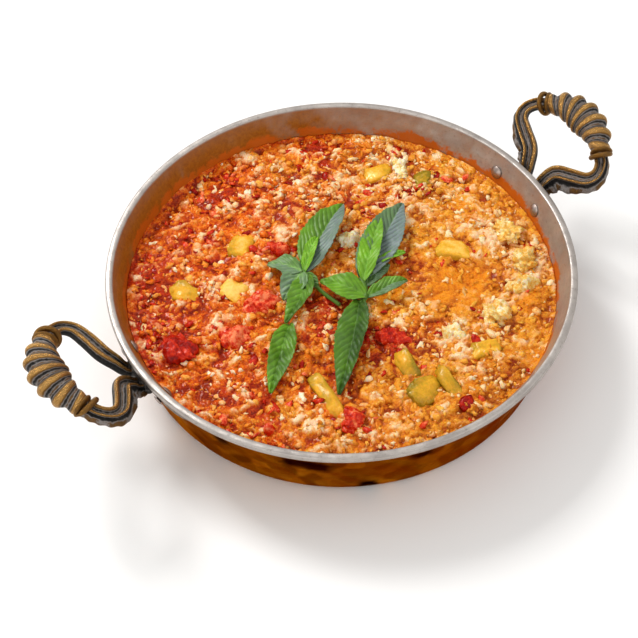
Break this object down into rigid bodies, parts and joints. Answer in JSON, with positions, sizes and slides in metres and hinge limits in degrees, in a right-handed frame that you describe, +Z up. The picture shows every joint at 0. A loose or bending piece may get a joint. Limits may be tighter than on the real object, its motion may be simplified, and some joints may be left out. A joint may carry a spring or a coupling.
{
  "type": "dish of menemen in a two-handled pan",
  "caption": "Round copper pan with cast side handles, filled with scrambled egg, tomato and green pepper, topped with mint sprigs.",
  "frame": {"origin": "middle of the pan's flat base, on its underside", "axes": "+Z up; the two handles lie along +X and -X; the picture was taken from -Y and a little -X"},
  "size_m": [0.3084, 0.2198, 0.0703],
  "materials": {
    "pan": null,
    "handles": "antiqued cast brass, dark in the grooves",
    "rivets": "tinned copper, dull",
    "sauce": "wet and oily; stands in for tomato sauce with fine egg curds",
    "pepper": "wet; stands in for cooked green pepper",
    "egg": "moist; stands in for egg curd",
    "tomato": "wet; stands in for cooked tomato",
    "mint": "leaf, satin; stands in for fresh mint"
  },
  "bodies": {
    "root": {"pan": "pan", "handle_right": "handles", "handle_left": "handles", "rivet_right_1": "rivets", "rivet_right_2": "rivets", "rivet_left_1": "rivets", "rivet_left_2": "rivets", "menemen": "sauce", "pepper_gold_left": "pepper", "pepper_gold_right": "pepper", "pepper_green_back": "pepper", "pepper_amber": "pepper", "pepper_left": "pepper", "pepper_strip_a": "pepper", "pepper_wedge": "pepper", "pepper_strip_b": "pepper", "pepper_long": "pepper", "pepper_right": "pepper", "pepper_gold_back": "pepper", "egg_white_middle": "egg", "egg_right": "egg", "egg_edge_back": "egg", "egg_edge_middle": "egg", "egg_edge_front": "egg", "egg_curl": "egg", "egg_white_back": "egg", "tomato_pink": "tomato", "tomato_left": "tomato", "tomato_middle": "tomato", "tomato_mint": "tomato", "tomato_right": "tomato", "tomato_front": "tomato", "mint_leaf_loose": "mint", "mint_sprig_left": "mint", "mint_sprig_right": "mint"}
  },
  "joints": []
}
